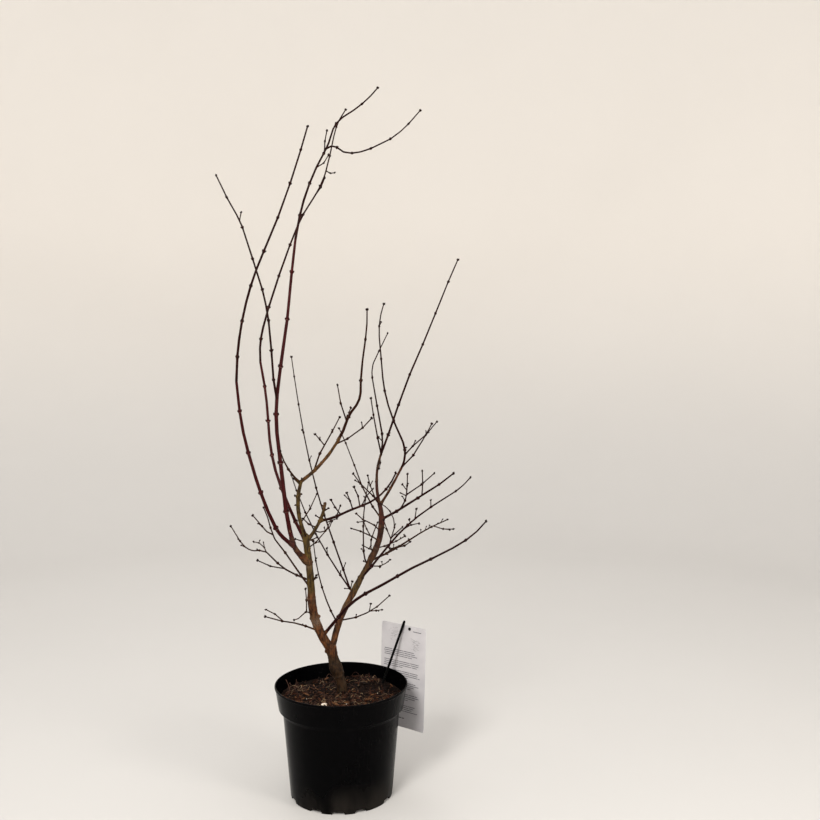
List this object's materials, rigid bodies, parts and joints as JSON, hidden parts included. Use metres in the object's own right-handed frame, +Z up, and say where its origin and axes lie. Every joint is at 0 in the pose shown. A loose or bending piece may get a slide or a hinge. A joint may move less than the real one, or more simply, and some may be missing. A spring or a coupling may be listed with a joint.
{
  "type": "potted japanese maple",
  "caption": "Young leafless Japanese maple on a short forked trunk, with long upright whips and fine twigs, in a round nursery pot with a blank label card.",
  "frame": {"origin": "centre of the flat pad under the pot", "axes": "+Z up along the crown's height, -Y towards the tree's front, +X to its right seen from the front"},
  "size_m": [0.4722, 0.3379, 1.2992],
  "materials": {
    "pot_plastic": "near-black moulded plastic, satin, dusty low down",
    "compost": "damp red-brown bark compost",
    "card": "pale grey-white, smooth, bare",
    "stake_plastic": "black",
    "old_bark": "warm brown mottled bark",
    "olive_bark": "olive-brown young bark",
    "red_bark": "dark red-purple smooth bark with paler rings at the nodes",
    "twigs": "dark red-brown thin twigs with bud pairs"
  },
  "bodies": {
    "root": {"bow_bough": "olive_bark", "bow_right_spray": "twigs", "bow_side_spray": "twigs", "bow_spray": "twigs", "brush_spray": "twigs", "brush_upper": "twigs", "centre_whip": "twigs", "cross_riser": "twigs", "cross_whip": "twigs", "crotch_twig": "twigs", "curl_left": "twigs", "curl_right": "twigs", "elbow_spray": "twigs", "fork_bough": "red_bark", "fork_spray": "twigs", "inner_lower_spray": "twigs", "inner_riser": "twigs", "inner_small": "twigs", "inner_spray": "twigs", "inner_upper_spray": "twigs", "inner_whip_low": "red_bark", "label_card": "card", "label_stake": "stake_plastic", "left_foot_spray": "twigs", "left_hook_spray": "twigs", "left_low_spray": "twigs", "left_mid_spray": "twigs", "left_stem": "old_bark", "level_spray": "twigs", "low_reach": "red_bark", "low_right_spray": "twigs", "low_tuft": "twigs", "mid_spray": "twigs", "olive_bough": "olive_bark", "olive_twig": "twigs", "outer_whip_high": "red_bark", "outer_whip_low": "red_bark", "pair_back": "twigs", "pair_front": "twigs", "pot": "pot_plastic", "reach_spray": "twigs", "rear_riser": "twigs", "rear_spray": "twigs", "red_leader": "red_bark", "right_leader": "olive_bark", "right_stem": "old_bark", "right_top_spray": "twigs", "soil": "compost", "stub_bough": "olive_bark", "top_spray": "twigs", "trunk": "old_bark", "whip_base": "old_bark"}
  },
  "joints": []
}
